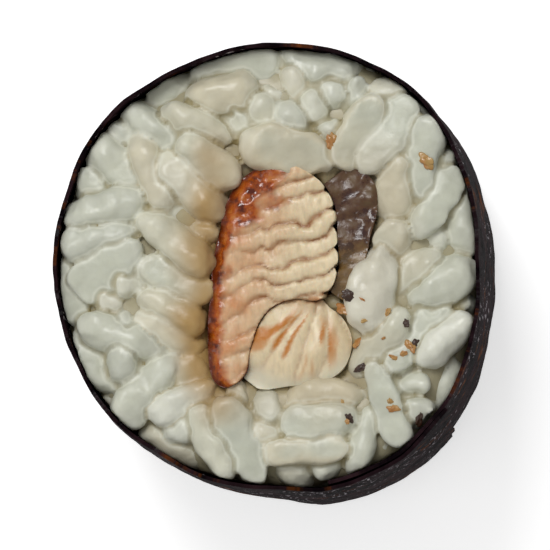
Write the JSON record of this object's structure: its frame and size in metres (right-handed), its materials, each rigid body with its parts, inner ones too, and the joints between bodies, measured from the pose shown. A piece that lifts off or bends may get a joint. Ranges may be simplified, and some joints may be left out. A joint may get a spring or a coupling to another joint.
{
  "type": "maki sushi roll",
  "caption": "One cut piece of an eel maki roll: rice round strips of grilled eel, wrapped in nori, standing on its cut end.",
  "frame": {"origin": "middle of the lower cut face, on the surface that the roll stands on", "axes": "+Z along the roll, up out of the cut face that shows; +Y towards the top of the filling, +X towards the eel's dark skin"},
  "size_m": [0.0301, 0.0318, 0.0256],
  "materials": {
    "nori": "moist dried-seaweed sheet, near black, satin with fine crossing fibres",
    "rice": "moist cooked short-grain rice, off-white and slightly translucent",
    "eel_flesh": "moist cream flesh in flakes, glazed orange-brown on one side",
    "eel_skin": "moist grey-brown fish skin"
  },
  "bodies": {
    "root": {"nori_wrap": "nori", "rice_bed": "rice", "eel_fillet": "eel_flesh", "eel_flake": "eel_flesh", "eel_skin": "eel_skin"}
  },
  "joints": []
}
